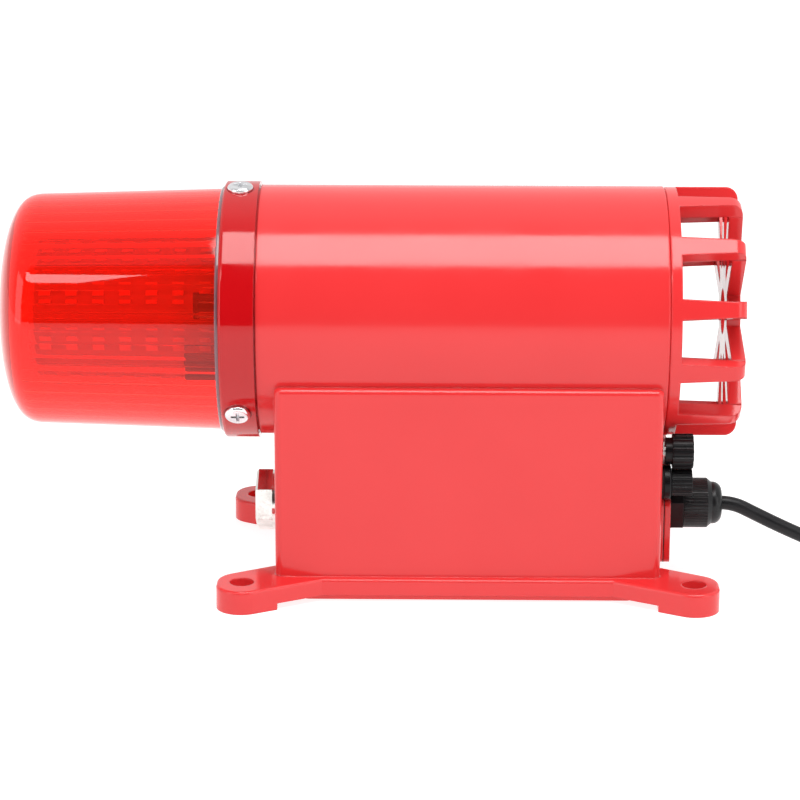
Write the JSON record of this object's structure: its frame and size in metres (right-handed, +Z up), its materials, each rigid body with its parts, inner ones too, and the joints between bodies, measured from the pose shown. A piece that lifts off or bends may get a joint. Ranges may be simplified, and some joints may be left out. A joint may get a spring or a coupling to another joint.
{
  "type": "alarm siren",
  "caption": "Red industrial sound-and-light alarm siren: cast housing on a lugged base, fluted red beacon at one end, caged horn at the other, volume knob, fuse holder and gland with cord.",
  "frame": {"origin": "centre of the four mounting holes, in the plane on which the four lug pads stand", "axes": "+Z up, out of the mounting surface; +X along the tube towards the horn guard, -X towards the beacon; -Y is the side with the volume knob, fuse and gland nearer to it"},
  "size_m": [0.4647, 0.151, 0.1746],
  "materials": {
    "red_paint": "gloss red enamel over a die casting",
    "ring_paint": "high-gloss crimson enamel",
    "lens_red": "clear red polycarbonate, smooth outside, fluted inside",
    "seal_clear": "translucent silicone",
    "chrome_screw": "bright plated",
    "zinc_steel": "bright zinc plate",
    "nickel": "nickel plated brass",
    "black_rubber": "moulded rubber",
    "white_plastic": "moulded",
    "green_board": "solder mask",
    "white_board": "white solder mask",
    "led_package": "moulded package with a phosphor window",
    "capacitor_sleeve": "heat-shrunk sleeve",
    "ferrite": "sintered",
    "horn_plastic": "moulded, fine grain",
    "cast_alloy": "machined",
    "diaphragm_film": "formed film",
    "black_plastic": "moulded phenolic",
    "gland_nylon": "moulded nylon",
    "brass": "turned",
    "clear_glass": "drawn tube",
    "terminal_plastic": "moulded",
    "lamination_steel": "varnished laminations",
    "winding_tape": "polyester tape",
    "wire_sleeve": "PVC",
    "cord_jacket": "smooth PVC",
    "core_sleeve": "PVC",
    "ferrule_tin": "tin plated, with a plastic sleeve"
  },
  "bodies": {
    "siren": {"board_screws": "zinc_steel", "board_standoffs": "brass", "bottom_cover": "red_paint", "cord": "cord_jacket", "cord_coil": "cord_jacket", "cord_cores": "core_sleeve", "cord_ferrules": "ferrule_tin", "cover_gasket": "black_rubber", "cover_screws": "zinc_steel", "diaphragm": "diaphragm_film", "driver_cover": "horn_plastic", "driver_front": "cast_alloy", "entry_plug": "nickel", "filter_capacitors": "capacitor_sleeve", "flasher_board": "green_board", "flasher_capacitors": "capacitor_sleeve", "flasher_choke": "ferrite", "fuse_contact": "brass", "fuse_holder": "black_plastic", "fuse_nut": "black_plastic", "fuse_washer": "black_rubber", "gland_body": "gland_nylon", "gland_insert": "black_rubber", "gland_locknut": "gland_nylon", "gland_nut": "gland_nylon", "gland_plate": "red_paint", "heat_sink": "cast_alloy", "horn": "horn_plastic", "horn_guard": "red_paint", "horn_screws": "zinc_steel", "housing": "red_paint", "internal_wires": "wire_sleeve", "lamp_holder": "white_plastic", "lamp_screws": "zinc_steel", "led_boards": "white_board", "leds": "led_package", "lens": "lens_red", "lens_gasket": "black_rubber", "lens_ring": "ring_paint", "lens_seal": "seal_clear", "magnet": "ferrite", "main_board": "green_board", "plate_gasket": "black_rubber", "plate_screws": "zinc_steel", "plug_washer": "black_rubber", "pot_nut": "zinc_steel", "potentiometer": "zinc_steel", "power_transistors": "black_plastic", "ring_screws": "chrome_screw", "terminal_block": "terminal_plastic", "top_plate": "zinc_steel", "transformer_core": "lamination_steel", "transformer_strap": "zinc_steel", "transformer_winding": "winding_tape", "yoke": "zinc_steel"},
    "knob": {"volume_knob": "black_plastic", "pot_shaft": "cast_alloy"},
    "fuse_link": {"fuse_glass": "clear_glass", "fuse_end_caps": "nickel"},
    "fuse_cap": {"fuse_cap": "black_plastic"}
  },
  "joints": [
    {"name": "volume_turn", "type": "hinge", "parent": "siren", "child": "knob", "pos_m": [0.0925, -0.037, 0.0629], "axis": [1, 0, 0], "range_deg": [-135, 135]},
    {"name": "fuse_pull", "type": "slide", "parent": "siren", "child": "fuse_link", "axis": [1, 0, 0], "range_m": [0, 0.03]},
    {"name": "fuse_cap_twist", "type": "hinge", "parent": "fuse_link", "child": "fuse_cap", "pos_m": [0.093, -0.037, 0.0488], "axis": [1, 0, 0], "range_deg": [0, 75]}
  ]
}
